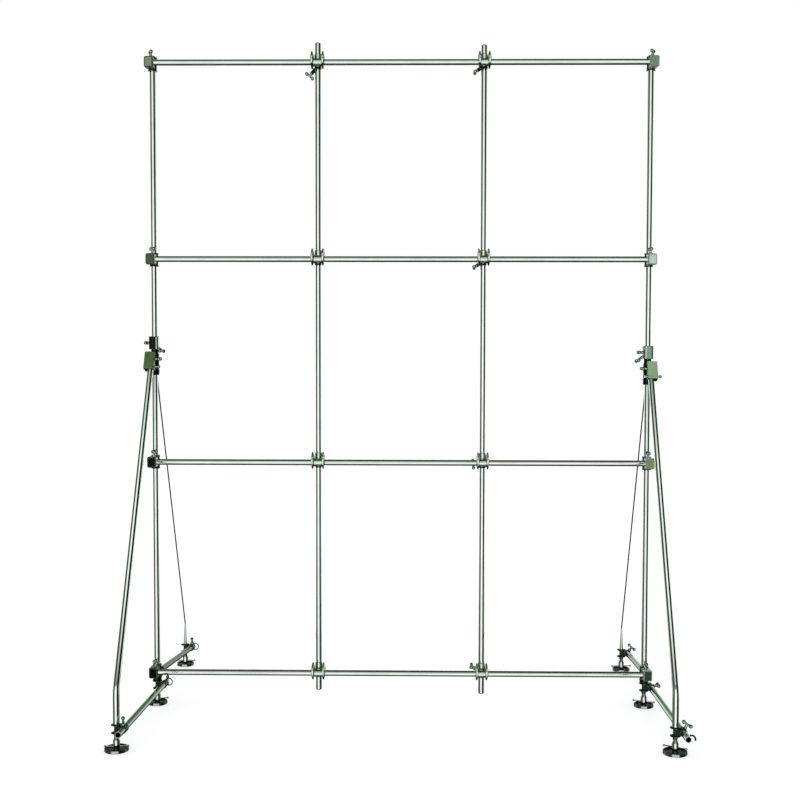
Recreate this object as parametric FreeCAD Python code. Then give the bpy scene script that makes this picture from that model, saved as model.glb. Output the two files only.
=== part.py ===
import FreeCAD, Part
import math
import os

# A free-standing lattice of steel tubes: two posts and two inner uprights, four rails in front of
# them, cast clamps with T-handled screws, and on each post a front and a rear leg with three
# levelling feet. X runs along the rails, Y from the front to the back, Z up, all in millimetres.

# Tube stock
tube_diameter = 25.0
tube_wall = 2.0
plug_dome_height = 6.0
plug_depth = 18.0
fit_clearance = 0.05
contact_gap = 0.3
overrun = 2.0

# The frame
post_spacing = 2084.0
upright_spacing = 695.0
rail_heights = {"top": 2715.0, "upper": 1900.0, "lower": 1045.0, "bottom": 145.0}
rail_forward = 29.0
rail_end_recess = 3.0
post_top_rise = 30.0
upright_top_rises = {"left": 89.0, "right": 80.0}
upright_low_drops = {"left": 82.0, "right": 96.0}
sides = {"left": -1, "right": 1}

# Corner clamp: a block on the rail and a barrel on the post
block_width = 38.0
block_height = 47.0
block_depth = 47.0
block_edge = 5.0
block_outboard = 7.0
corner_barrel_diameter = 35.0
corner_barrel_above = 27.0
corner_barrel_below = 30.0
barrel_lip_diameter = 39.0
barrel_lip_height = 4.0
corner_screw_forward = 34.0

# Cross clamp: a spool with two flanges on the rail and a barrel on the upright
cross_hub_diameter = 33.0
cross_flange_diameter = 72.0
cross_flange_spacings = {"left": 45.0, "right": 41.0}
cross_flange_hub = 15.0
cross_flange_rim = 5.0
cross_flange_rise = 9.0
cross_barrel_diameter = 30.0
cross_barrel_above = 40.0
cross_barrel_below = 24.0
cross_boss_diameter = 16.0
cross_boss_back = 7.0
cross_boss_drop = 6.0
cross_bar_height = 13.0
barrel_edge = 2.0

# T-handled screw
screw_diameter = 8.0
screw_collar_diameter = 13.0
screw_collar_height = 2.7
screw_stem_diameter = 11.0
bar_length = 46.0
corner_bar_length = 40.0
bar_waist_diameter = 8.5
bar_ball_diameter = 15.5
bar_neck_share = 0.3
ball_flare_degrees = 30.0
corner_bar_height = 19.0

# End spool of the posts, braces and rear rods
spool_centre_height = 84.0
spool_flange_spacing = 31.0
spool_flange_diameter = 41.0
spool_flange_hub = 9.0
spool_flange_rim = 2.5
spool_waist_diameter = 18.0
spool_neck_diameter = 19.0
spool_neck_length = 9.0
spool_plug_depth = 30.0

# Clamp block on a spool and a base tube
base_tube_offset = 28.0
foot_barrel_diameter = 31.0
foot_barrel_length = 36.0
jaw_width = 30.0
jaw_reach = 3.0
jaw_clearance = 0.5
foot_bar_height = 17.0

# Levelling foot
disc_diameters = {"front": 92.0, "mid": 83.0, "rear": 80.0}
disc_thickness = 12.0
disc_dish_depth = 5.0
disc_rim_width = 4.0
column_diameter = 26.0
column_height = 30.0
column_neck_diameter = 16.0
spindle_diameter = 12.0
spindle_height = 112.0
spindle_tip_gap = 3.0
tommy_diameter = 5.0
tommy_length = 96.0
tommy_ball_diameter = 9.0
tommy_heights = {
    "left": {"front": 17.0, "mid": 20.0, "rear": 22.0},
    "right": {"front": 25.0, "mid": 22.0, "rear": 22.0},
}

# Front leg
leg_reach = {"left": 585.0, "right": 580.0}
leg_splay_degrees = {"left": 2.0, "right": 0.0}
bracket_height_shares = {"left": 0.49707602, "right": 0.45380117}
brace_outboard = 6.0
brace_forward = 36.0
bend_height = 235.0
bend_radius = 120.0
bracket_outboard = 12.0
bracket_width = 42.0
bracket_depth = 38.0
bracket_length = 78.0
bracket_edge = 2.0
bracket_socket_above = 26.0
bracket_screw_rise = 12.0
bracket_barrel_diameter = 36.0
bracket_barrel_above = 33.0
bracket_barrel_below = 31.0
pin_diameter = 8.0
pin_ball_ways = {"left": -1, "right": 1}
pin_ball_reaches = {"left": 29.0, "right": 45.0}
pin_head_heights = {"left": 2.0, "right": 12.0}
pin_drop = 24.0
pin_ball_diameter = 12.5
front_tube_overhangs = {"left": 72.0, "right": 90.0}
mid_tube_overhangs = {"left": 42.0, "right": 24.0}

# Collar on the post above the bracket
collar_width = 42.0
collar_depth = 42.0
collar_height = 55.0
collar_corner = 12.0
collar_edge = 2.0
collar_outboard = 1.5
collar_gap = 18.0
sleeve_diameter = 31.0

# Rear leg
rear_reach = {"left": 607.0, "right": 550.0}
stay_ring_diameter = 38.0
stay_ring_height = 26.0
stay_lug_width = 12.0
stay_lug_reach = 37.0
stay_lug_height = 16.0
stay_diameter = 6.0
stay_nut_diameter = 10.5
stay_nut_height = 5.0
stay_nut_share = 0.75
rear_rod_top_diameter = 7.0
rear_rod_foot_diameter = 17.0
rear_rod_top_height = 200.0
rear_tube_start = 44.0
rear_tube_start_height = 137.0
rear_tube_start_offset = 8.0
rear_tube_overhang = {"left": 40.0, "right": 26.0}
eye_diameter = 37.0
gusset_thickness = 8.0
gusset_root = 10.0
gusset_toe = 40.0
gusset_heel = 22.0
gusset_end = 96.0

# Wire bail at the end of a base tube
bail_wire_diameters = {"left": 4.5, "right": 7.0}
bail_radius = 15.0
bail_outboard = 12.0
bail_inset = 5.0
bail_start_degrees = {"left": -118.0, "right": -115.0}
bail_sweep_degrees = {"left": 236.0, "right": 133.0}

UP = FreeCAD.Vector(0, 0, 1)
ALONG = FreeCAD.Vector(1, 0, 0)
BACK = FreeCAD.Vector(0, 1, 0)


def vec(x, y, z):
    return FreeCAD.Vector(x, y, z)


def turned(outline, axis=UP, at=vec(0, 0, 0)):
    """Solid of revolution about an axis through a point. The outline's items are (radius, height)
    corners, or (radius, height, radius, height) for an arc through the first to the second."""
    last = vec(outline[0][0], 0, outline[0][1])
    start = last
    edges = []
    for item in outline[1:] + [outline[0]]:
        end = vec(item[-2], 0, item[-1])
        if len(item) == 4:
            edges.append(Part.Arc(last, vec(item[0], 0, item[1]), end).toShape())
        elif end.distanceToPoint(last) > 0:
            edges.append(Part.LineSegment(last, end).toShape())
        last = end
    face = Part.Face(Part.Wire(edges))
    solid = face.revolve(vec(0, 0, 0), UP, 360)
    return placed(solid, axis, at)


def ball_bar(length, ball, waist, neck):
    """Bar about Z with ball ends that flare from a straight waist. Radii and half lengths."""
    end = length / 2
    centre = end - ball
    flare_radius = ball * math.cos(math.radians(ball_flare_degrees))
    flare_height = centre - ball * math.sin(math.radians(ball_flare_degrees))
    return turned(
        [
            (0, -end),
            (ball, -centre, flare_radius, -flare_height),
            (waist, -neck),
            (waist, neck),
            (flare_radius, flare_height),
            (ball, centre, 0, end),
        ]
    )


def placed(shape, axis, at):
    """Copy of a shape made along Z, turned to lie along an axis and moved to a point."""
    copy = shape.copy()
    turn = FreeCAD.Rotation(UP, axis)
    copy.Placement = FreeCAD.Placement(at, turn).multiply(copy.Placement)
    return copy


def rod(start, end, diameter):
    """Round bar from one point to another."""
    run = end.sub(start)
    return Part.makeCylinder(diameter / 2, run.Length, start, run)


def tube(start, end):
    """Length of the stock tube."""
    run = end.sub(start)
    outside = Part.makeCylinder(tube_diameter / 2, run.Length, start, run)
    inside = Part.makeCylinder(tube_diameter / 2 - tube_wall, run.Length, start, run)
    return outside.cut(inside)


def bore(start, end, diameter):
    """Cutter for a hole that runs past both points."""
    step = end.sub(start).normalize().multiply(overrun)
    return rod(start.sub(step), end.add(step), diameter)


def block(width, depth, height, centre, edge):
    """Box about a centre with all its edges bevelled."""
    corner = centre.sub(vec(width / 2, depth / 2, height / 2))
    box = Part.makeBox(width, depth, height, corner)
    return box.makeChamfer(edge, box.Edges)


def lens_disc(diameter, hub, rim, hub_diameter):
    """Flange about Z whose faces fall away from the hub to a thin rim."""
    radius = diameter / 2
    inner = hub_diameter / 2
    return turned(
        [
            (0, -hub / 2),
            (inner, -hub / 2),
            (radius, -rim / 2),
            (radius, rim / 2),
            (inner, hub / 2),
            (0, hub / 2),
        ]
    )


def barrel(diameter, low, high, edge):
    """Round barrel about Z with bevelled ends."""
    radius = diameter / 2
    return turned(
        [
            (0, low),
            (radius - edge, low),
            (radius, low + edge),
            (radius, high - edge),
            (radius - edge, high),
            (0, high),
        ]
    )


def end_plug(height, direction):
    """Plug in a tube's end: a stem inside the tube and a low dome outside, growing along +Z or -Z."""
    stem = tube_diameter / 2 - tube_wall
    rim = tube_diameter / 2
    radius = (rim ** 2 + plug_dome_height ** 2) / (2 * plug_dome_height)
    half = math.asin(rim / radius) / 2
    drop = radius * (1 - math.cos(half))
    outline = [
        (0, -plug_depth),
        (stem, -plug_depth),
        (stem, 0),
        (rim, 0),
        (radius * math.sin(half), plug_dome_height - drop, 0, plug_dome_height),
    ]
    return turned(outline, vec(0, 0, direction), vec(0, 0, height))


def moved(shape, x, y, z):
    copy = shape.copy()
    copy.translate(vec(x, y, z))
    return copy


def spun(shape, degrees, centre):
    """Copy of a shape turned about an upright axis."""
    copy = shape.copy()
    copy.rotate(centre, UP, degrees)
    return copy


def clamp_screw(tip, base, centre, length=bar_length):
    """T-handled screw along +Z: its tip, the face that it stands on and its bar, as distances."""
    waist = bar_waist_diameter / 2
    ball = bar_ball_diameter / 2
    stem = turned(
        [
            (0, tip),
            (screw_diameter / 2, tip),
            (screw_diameter / 2, base + contact_gap),
            (screw_collar_diameter / 2, base + contact_gap),
            (screw_collar_diameter / 2, base + contact_gap + screw_collar_height),
            (screw_stem_diameter / 2, base + contact_gap + screw_collar_height * 2),
            (screw_stem_diameter / 2, centre),
            (0, centre),
        ]
    )
    bar = ball_bar(length, ball, waist, length / 2 * bar_neck_share)
    bar = placed(bar, ALONG, vec(0, 0, centre))
    return stem.fuse(bar).removeSplitter()


def oblique(axis, run, radius, reach):
    """Distance along a slanted axis at which a round face has come clear of a line by a distance."""
    share = abs(axis.dot(run)) / axis.Length
    return (reach + radius * share) / math.sqrt(1 - share ** 2)


def aim(shape, direction, bar_direction, at):
    """Place a screw made along +Z: its axis along a direction and its bar along another, square to it."""
    z_axis = vec(*direction).normalize()
    x_axis = vec(*bar_direction)
    x_axis = x_axis.sub(vec(*z_axis).multiply(x_axis.dot(z_axis))).normalize()
    turn = FreeCAD.Rotation(x_axis, z_axis.cross(x_axis), z_axis, "ZXY")
    copy = shape.copy()
    copy.Placement = FreeCAD.Placement(at, turn)
    return copy


tube_radius = tube_diameter / 2
tube_bore = tube_diameter + 2 * fit_clearance
screw_bore = screw_diameter + 2 * fit_clearance
screw_seat = tube_radius + contact_gap
post_x = post_spacing / 2
upright_x = upright_spacing / 2
spool_top = spool_centre_height + spool_flange_spacing / 2 + spool_flange_hub / 2
spool_low = spool_centre_height - spool_flange_spacing / 2 - spool_flange_hub / 2
spool_bottom = spool_low - spool_neck_length
# The brackets stand between the two middle rails, at a share of the way up from the lower one
bracket_heights = {
    side: rail_heights["lower"] + share * (rail_heights["upper"] - rail_heights["lower"])
    for side, share in bracket_height_shares.items()
}
parts = {}
joints = {}


def add(name, shapes):
    """Keep one node: a single solid, or a compound of separate solids."""
    parts[name] = shapes[0] if len(shapes) == 1 else Part.makeCompound(shapes)


def end_spool(stem_diameter, stem_depth):
    """Turned end with two flanges, a plug or shank above them and a threaded bore for the spindle."""
    waist = Part.makeCylinder(spool_waist_diameter / 2, spool_top - spool_low, vec(0, 0, spool_low))
    neck = Part.makeCylinder(spool_neck_diameter / 2, spool_neck_length, vec(0, 0, spool_bottom))
    stem = Part.makeCylinder(stem_diameter / 2, stem_depth, vec(0, 0, spool_top))
    flange = lens_disc(spool_flange_diameter, spool_flange_hub, spool_flange_rim, tube_diameter)
    spool = waist.fuse([neck, stem])
    for way in (-1, 1):
        height = spool_centre_height + way * spool_flange_spacing / 2
        spool = spool.fuse(moved(flange, 0, 0, height))
    top = spindle_height + spindle_tip_gap
    hole = Part.makeCylinder(
        spindle_diameter / 2 + fit_clearance, top - spool_bottom + overrun, vec(0, 0, spool_bottom - overrun)
    )
    return spool.cut(hole).removeSplitter()


def tube_spool():
    return end_spool(tube_diameter - 2 * tube_wall - 2 * fit_clearance, spool_plug_depth)


def corner_clamp(side, height):
    way = sides[side]
    body = block(
        block_width,
        block_depth,
        block_height,
        vec(way * (post_x + block_outboard), -rail_forward, height),
        block_edge,
    )
    low = -corner_barrel_below
    high = corner_barrel_above
    rings = barrel(corner_barrel_diameter, low, high, barrel_edge)
    for start in (low, high - barrel_lip_height):
        rings = rings.fuse(barrel(barrel_lip_diameter, start, start + barrel_lip_height, barrel_edge / 2))
    body = body.fuse(moved(rings, way * post_x, 0, height))
    post_hole = bore(vec(way * post_x, 0, height + low), vec(way * post_x, 0, height + high), tube_bore)
    inner = way * (post_x + block_outboard - block_width / 2)
    outer = way * (post_x + block_outboard + block_width / 2)
    rail_hole = bore(vec(inner, -rail_forward, height), vec(outer, -rail_forward, height), tube_bore)
    at = corner_screw_place(side, height)
    screw_hole = bore(at, at.add(vec(0, 0, block_height / 2)), screw_bore)
    return body.cut([post_hole, rail_hole, screw_hole]).removeSplitter()


def corner_screw_place(side, height):
    return vec(sides[side] * post_x, -corner_screw_forward, height)


def cross_screw_axis(tilt_degrees, heading_degrees):
    """Direction of a cross clamp's screw: to the left, tilted down and turned towards the back."""
    tilt = math.radians(tilt_degrees)
    heading = math.radians(heading_degrees)
    return vec(-math.cos(tilt) * math.cos(heading), math.cos(tilt) * math.sin(heading), -math.sin(tilt))


def cross_screw_place(side, height, heading_degrees):
    shift = cross_boss_back * math.cos(math.radians(heading_degrees))
    return vec(sides[side] * upright_x, shift, height - cross_boss_drop)


def cross_clamp(side, height, tilt, heading, boss_length):
    x = sides[side] * upright_x
    half = cross_flange_spacings[side] / 2
    hub = Part.makeCylinder(cross_hub_diameter / 2, 2 * half, vec(x - half, -rail_forward, height), ALONG)
    rings = barrel(cross_barrel_diameter, -cross_barrel_below, cross_barrel_above, barrel_edge)
    body = hub.fuse(moved(rings, x, 0, height))
    disc = lens_disc(cross_flange_diameter, cross_flange_hub, cross_flange_rim, cross_hub_diameter)
    for way in (-1, 1):
        centre = vec(x + way * half, -rail_forward, height + cross_flange_rise)
        body = body.fuse(placed(disc, ALONG, centre))
    at = cross_screw_place(side, height, heading)
    axis = cross_screw_axis(tilt, heading)
    boss = Part.makeCylinder(cross_boss_diameter / 2, boss_length, at, axis)
    body = body.fuse(boss)
    reach = half + cross_flange_hub
    rail_hole = bore(vec(x - reach, -rail_forward, height), vec(x + reach, -rail_forward, height), tube_bore)
    upright_hole = bore(
        vec(x, 0, height - cross_flange_diameter), vec(x, 0, height + cross_flange_diameter), tube_bore
    )
    screw_hole = Part.makeCylinder(screw_bore / 2, boss_length + overrun, at, axis)
    return body.cut([rail_hole, upright_hole, screw_hole]).removeSplitter()


def screw_node(name, tip, base, centre, direction, bar_direction, at, length=bar_length):
    """One T-handled screw in a node of its own, which turns about its axis."""
    add(name, [aim(clamp_screw(tip, base, centre, length), direction, bar_direction, at)])
    joints[name] = (at, direction)


# Posts, uprights and rails
for side, way in sides.items():
    top = rail_heights["top"] + post_top_rise
    pieces = [
        tube(vec(0, 0, spool_top), vec(0, 0, top)),
        tube_spool(),
        end_plug(top, 1),
    ]
    add(side + "_post", [moved(piece, way * post_x, 0, 0) for piece in pieces])
    low = rail_heights["bottom"] - upright_low_drops[side] + plug_dome_height
    high = rail_heights["top"] + upright_top_rises[side] - plug_dome_height
    pieces = [tube(vec(0, 0, low), vec(0, 0, high)), end_plug(high, 1), end_plug(low, -1)]
    add(side + "_upright", [moved(piece, way * upright_x, 0, 0) for piece in pieces])

rail_half = post_x + block_outboard + block_width / 2 - rail_end_recess
for row, height in rail_heights.items():
    add(row + "_rail", [tube(vec(-rail_half, -rail_forward, height), vec(rail_half, -rail_forward, height))])

# Clamps and their screws. Each cross screw has its tilt and heading in degrees and the direction of
# its bar, which stands at a distance of its own from the upright's axis.
cross_screws = {
    ("left", "top"): (50, 0, (0.89, 0, -0.45)),
    ("left", "upper"): (0, 90, (1, 0, 0.2)),
    ("left", "lower"): (0, 90, (1, 0, -0.3)),
    ("left", "bottom"): (0, 90, (1, 0, 0)),
    ("right", "top"): (36, 0, (0, 1, 0)),
    ("right", "upper"): (34, 0, (0.2, 1, 0)),
    ("right", "lower"): (5, 0, (0, 0.1, 1)),
    ("right", "bottom"): (-35, 0, (0.3, 1, 0)),
}
cross_bar_distances = {
    "left": {"top": 56.0, "upper": 42.0, "lower": 42.0, "bottom": 42.0},
    "right": {"top": 47.0, "upper": 46.0, "lower": 38.0, "bottom": 52.0},
}
corner_bars = {
    ("left", "top"): (-0.37, 0.93, 0),
    ("left", "upper"): (-0.61, 0.79, 0),
    ("left", "lower"): (-0.61, 0.79, 0),
    ("left", "bottom"): (-0.61, 0.79, 0),
    ("right", "top"): (0.45, 0.89, 0),
    ("right", "upper"): (-0.12, 0.99, 0),
    ("right", "lower"): (-0.12, 0.99, 0),
    ("right", "bottom"): (0.5, 0.85, 0),
}
for side in sides:
    corners = []
    crosses = []
    for row, height in rail_heights.items():
        corners.append(corner_clamp(side, height))
        half = block_height / 2
        top = half + corner_bar_height
        place = corner_screw_place(side, height)
        name = side + "_" + row + "_corner_screw"
        screw_node(name, screw_seat, half, top, (0, 0, 1), corner_bars[side, row], place, corner_bar_length)
        tilt, heading, bar_direction = cross_screws[side, row]
        reach = cross_bar_distances[side][row]
        boss_length = reach - cross_bar_height
        crosses.append(cross_clamp(side, height, tilt, heading, boss_length))
        axis = cross_screw_axis(tilt, heading)
        place = cross_screw_place(side, height, heading)
        name = side + "_" + row + "_cross_screw"
        tip = oblique(axis, UP, screw_diameter / 2, screw_seat)
        screw_node(name, tip, boss_length, reach, tuple(axis), bar_direction, place)
    add(side + "_corner_clamps", corners)
    add(side + "_cross_clamps", crosses)


def times(run, distance):
    """A vector stretched by a distance or a share."""
    return vec(run.x * distance, run.y * distance, run.z * distance)


def foot(side, place):
    """Levelling foot about Z: a dished disc with column and spindle, and its tommy bar."""
    rim = disc_diameters[place] / 2
    bar_height = tommy_heights[side][place]
    edge = disc_rim_width / 4
    dish = disc_thickness - disc_dish_depth
    column = column_diameter / 2
    shoulder = disc_thickness + column_height
    body = turned(
        [
            (0, 0),
            (rim - edge, 0),
            (rim, edge),
            (rim, disc_thickness - edge),
            (rim - edge, disc_thickness),
            (rim - disc_rim_width, disc_thickness),
            (rim - disc_rim_width * 2, dish),
            (column, dish + edge),
            (column, shoulder),
            (column_neck_diameter / 2, spool_bottom - contact_gap),
            (spindle_diameter / 2, spool_bottom - contact_gap),
            (spindle_diameter / 2, spindle_height),
            (0, spindle_height),
        ]
    )
    hole = rod(vec(-rim, 0, bar_height), vec(rim, 0, bar_height), tommy_diameter + 2 * fit_clearance)
    ball = tommy_ball_diameter / 2
    bar = ball_bar(tommy_length, ball, tommy_diameter / 2, tommy_length / 2 - ball * 2)
    bar = placed(bar, ALONG, vec(0, 0, bar_height))
    pieces = [body.cut(hole), bar]
    return [spun(piece, foot_bars[side][place], vec(0, 0, 0)) for piece in pieces]


def foot_boss_height(tube_axis, screw_axis):
    height = oblique(screw_axis, tube_axis, cross_boss_diameter / 2, foot_barrel_diameter / 2)
    return height + screw_collar_height / 2


def foot_clamp(tube_axis, screw_axis=None):
    """Block beside a spool, about the spool's axis at X = Y = 0: a barrel on the base tube and a jaw."""
    centre = vec(base_tube_offset, 0, spool_centre_height)
    length = foot_barrel_length
    shell = placed(barrel(foot_barrel_diameter, -length / 2, length / 2, barrel_edge), tube_axis, centre)
    height = spool_flange_spacing - spool_flange_hub - 2 * jaw_clearance
    low = spool_centre_height - height / 2
    jaw = Part.makeBox(
        base_tube_offset + jaw_reach, jaw_width, height, vec(-jaw_reach, -jaw_width / 2, low)
    )
    body = shell.fuse(jaw)
    step = times(tube_axis, length)
    waist_radius = spool_waist_diameter / 2 + fit_clearance
    cuts = [
        rod(centre.sub(step), centre.add(step), tube_bore),
        Part.makeCylinder(waist_radius, height + 2 * overrun, vec(0, 0, low - overrun)),
    ]
    if screw_axis is not None:
        boss_height = foot_boss_height(tube_axis, screw_axis)
        body = body.fuse(Part.makeCylinder(cross_boss_diameter / 2, boss_height, centre, screw_axis))
        cuts.append(Part.makeCylinder(screw_bore / 2, boss_height + overrun, centre, screw_axis))
    return body.cut(cuts).removeSplitter()


def foot_clamp_screw(tube_axis, screw_axis, bar_direction):
    base = foot_boss_height(tube_axis, screw_axis)
    tip = oblique(screw_axis, tube_axis, screw_diameter / 2, screw_seat)
    centre = vec(base_tube_offset, 0, spool_centre_height)
    piece = clamp_screw(tip, base, base + foot_bar_height)
    return aim(piece, tuple(screw_axis), bar_direction, centre)


def tube_nut(end, run):
    """Threaded plug in the end of a base tube, for the screw that enters there."""
    start = end.sub(times(run, plug_depth))
    nut = rod(start, end, tube_diameter - 2 * tube_wall - 2 * fit_clearance)
    return nut.cut(bore(start, end, screw_bore))


def bail(side, tube_axis, at):
    """Bent wire hook that starts at the top of a tube's end and stands out to the right."""
    ring = Part.makeTorus(
        bail_radius, bail_wire_diameters[side] / 2, vec(0, 0, 0), UP, -180, 180, bail_sweep_degrees[side]
    )
    ring.rotate(vec(0, 0, 0), UP, bail_start_degrees[side])
    copy = ring.copy()
    turn = FreeCAD.Rotation(ALONG, UP, tube_axis, "ZXY")
    copy.Placement = FreeCAD.Placement(at, turn).multiply(copy.Placement)
    return copy


def bracket_line(side):
    """Centre of the bracket on the brace's line and the brace's direction upwards, in the leg's frame."""
    centre = vec(0, -brace_forward, bracket_heights[side])
    bend = vec(0, -leg_reach[side], bend_height)
    return centre, centre.sub(bend).normalize()


def brace(side):
    """Bent tube: straight down from the bracket, one bend, then upright to the end spool."""
    way = sides[side]
    centre, up_line = bracket_line(side)
    top = centre.add(times(up_line, bracket_socket_above))
    bend = vec(0, -leg_reach[side], bend_height)
    low = vec(0, -leg_reach[side], spool_top)
    turn = math.acos(up_line.z)
    setback = bend_radius * math.tan(turn / 2)
    first = bend.add(times(up_line, setback))
    last = bend.sub(vec(0, 0, setback))
    pivot = last.add(vec(0, bend_radius, 0))
    middle = pivot.add(vec(0, -math.cos(turn / 2), math.sin(turn / 2)).multiply(bend_radius))
    path = Part.Wire(
        [
            Part.LineSegment(low, last).toShape(),
            Part.Arc(last, middle, first).toShape(),
            Part.LineSegment(first, top).toShape(),
        ]
    )
    solids = []
    for radius in (tube_radius, tube_radius - tube_wall):
        section = Part.Wire([Part.Circle(low, UP, radius).toShape()])
        solids.append(path.makePipeShell([section], True, True))
    body = solids[0].cut(solids[1])
    body.translate(vec(way * brace_outboard, 0, 0))
    pin_at = pin_place(side)
    hole = rod(pin_at.sub(vec(tube_diameter, 0, 0)), pin_at.add(vec(tube_diameter, 0, 0)), pin_bore)
    return body.cut(hole)


def pin_place(side):
    centre, up_line = bracket_line(side)
    drop = times(up_line, pin_drop)
    return centre.sub(drop).add(vec(sides[side] * brace_outboard, 0, 0))


def bracket(side):
    """Block that takes the brace's end, cast with the barrel and sleeve that swivel on the post."""
    way = sides[side]
    centre, up_line = bracket_line(side)
    middle = centre.add(vec(way * bracket_outboard, 0, 0))
    body = block(bracket_width, bracket_depth, bracket_length, vec(0, 0, 0), bracket_edge)
    body = placed(body, up_line, middle)
    low = bracket_heights[side] - bracket_barrel_below
    high = bracket_heights[side] + bracket_barrel_above
    body = body.fuse(barrel(bracket_barrel_diameter, low, high, barrel_edge))
    sleeve_top = high + collar_gap - contact_gap
    sleeve_low = low + barrel_edge
    sleeve = Part.makeCylinder(sleeve_diameter / 2, sleeve_top - sleeve_low, vec(0, 0, sleeve_low))
    body = body.fuse(sleeve)
    tube_at = centre.add(vec(way * brace_outboard, 0, 0))
    top = tube_at.add(times(up_line, bracket_socket_above + contact_gap))
    foot_end = tube_at.sub(times(up_line, bracket_length))
    socket = rod(foot_end, top, tube_bore)
    post_hole = bore(vec(0, 0, low), vec(0, 0, sleeve_top), tube_bore)
    pin_at = pin_place(side)
    reach = vec(bracket_width + overrun, 0, 0)
    pin_hole = rod(pin_at.sub(reach), pin_at.add(reach), pin_bore)
    screw_hole = Part.makeCylinder(screw_bore / 2, bracket_width, bracket_screw_place(side), vec(-way, 0, 0))
    return body.cut([socket, post_hole, pin_hole, screw_hole]).removeSplitter()


def bracket_screw_place(side):
    centre, up_line = bracket_line(side)
    return centre.add(times(up_line, bracket_screw_rise)).add(vec(sides[side] * brace_outboard, 0, 0))


def bracket_screw(side):
    way = sides[side]
    base = brace_outboard - bracket_outboard + bracket_width / 2
    piece = clamp_screw(screw_seat, base, base + corner_bar_height)
    return aim(piece, (-way, 0, 0), (0, 1, 0), bracket_screw_place(side))


def bracket_pin(side):
    """Cross pin through the bracket and the brace, with a ball at one end and a head at the other."""
    way = sides[side] * pin_ball_ways[side]
    at = pin_place(side).sub(vec(sides[side] * brace_outboard, 0, 0))
    ball = pin_ball_diameter / 2
    radius = pin_diameter / 2
    start = bracket_width / 2 - pin_ball_ways[side] * bracket_outboard + contact_gap
    length = start + pin_ball_reaches[side]
    outline = [
        (0, -pin_head_heights[side]),
        (ball, -pin_head_heights[side]),
        (ball, 0),
        (radius, 0),
        (radius, length - math.sqrt(ball ** 2 - radius ** 2)),
        (ball, length, 0, length + ball),
    ]
    return turned(outline, vec(way, 0, 0), at.sub(vec(way * start, 0, 0)))


def front_leg(side):
    """Every piece of a front leg and the nodes that they are kept under, in the leg's own frame."""
    way = sides[side]
    foot_at = vec(way * brace_outboard, -leg_reach[side], 0)
    mid = vec(base_tube_offset, 0, spool_centre_height)
    front = mid.add(foot_at)
    run = mid.sub(front).normalize()
    start = front.sub(times(run, front_tube_overhangs[side]))
    end = mid.add(times(run, mid_tube_overhangs[side]))
    hook_at = {
        "left": end.sub(times(run, bail_inset)),
        "right": start.add(times(run, bail_inset)),
    }
    hook = bail(side, run, hook_at[side].add(vec(bail_outboard, 0, 0)))
    axes = front_screw_axes[side]
    screws = [foot_clamp_screw(run, *axes["front"]).translated(foot_at), bracket_screw(side)]
    tubes = [tube(start, end), hook]
    if side == "left":
        mid_clamp = foot_clamp(run)
        tubes.append(tube_nut(end, run))
        screws.append(aim(clamp_screw(-plug_depth, 0, foot_bar_height), tuple(run), axes["mid"][1], end))
    else:
        mid_clamp = foot_clamp(run, axes["mid"][0])
        screws.append(foot_clamp_screw(run, *axes["mid"]))
    toe = foot(side, "front")
    return {
        "bracket": [bracket(side)],
        "bracket_pin": [bracket_pin(side)],
        "brace": [brace(side), tube_spool().translated(foot_at)],
        "front_base_tube": tubes,
        "front_foot_clamp": [foot_clamp(run, axes["front"][0]).translated(foot_at)],
        "mid_foot_clamp": [mid_clamp],
        "front_leg_screws": screws,
        "front_foot": [piece.translated(foot_at) for piece in toe],
    }


def stay_lug_place(side):
    """Middle of the lug at the back of the swivel ring under the bracket."""
    top = bracket_heights[side] - bracket_barrel_below - contact_gap
    return vec(0, stay_lug_reach - stay_lug_width / 2, top - stay_ring_height + stay_lug_height / 2)


def rear_stay(side):
    """Swivel ring with its lug, the thin stay, and the tapered rod with its end spool."""
    reach = rear_reach[side]
    lug_at = stay_lug_place(side)
    top = bracket_heights[side] - bracket_barrel_below - contact_gap
    low = top - stay_ring_height
    ring = moved(barrel(stay_ring_diameter, 0, stay_ring_height, barrel_edge), 0, 0, low)
    corner = vec(-stay_lug_width / 2, 0, lug_at.z - stay_lug_height / 2)
    ring = ring.fuse(Part.makeBox(stay_lug_width, stay_lug_reach, stay_lug_height, corner))
    ball = rear_rod_top_diameter / 2
    ball_at = vec(0, reach, rear_rod_top_height)
    run = ball_at.sub(lug_at).normalize()
    hole = rod(lug_at.sub(times(run, stay_lug_height)), lug_at.add(times(run, stay_lug_height)), stay_bore)
    post_hole = bore(vec(0, 0, low), vec(0, 0, top), tube_bore)
    ring = ring.cut([post_hole, hole]).removeSplitter()
    nut_at = lug_at.sub(times(run, stay_lug_height * stay_nut_share))
    wire = rod(nut_at, ball_at.sub(times(run, ball + contact_gap)), stay_diameter)
    nut = Part.makeCylinder(stay_nut_diameter / 2, stay_nut_height, nut_at, times(run, -1))
    foot_radius = rear_rod_foot_diameter / 2
    taper = turned(
        [
            (0, spool_top),
            (foot_radius, spool_top),
            (ball, rear_rod_top_height),
            (0, rear_rod_top_height + ball),
        ]
    )
    depth = spindle_height + spindle_tip_gap - spool_low
    top_hole = Part.makeCylinder(spindle_diameter / 2 + fit_clearance, depth, vec(0, 0, spool_low))
    shank = end_spool(spindle_diameter + 4 * fit_clearance, fit_clearance).fuse(taper).cut(top_hole)
    return [ring, wire.fuse(nut).removeSplitter(), shank.removeSplitter().translated(vec(0, reach, 0))]


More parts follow.
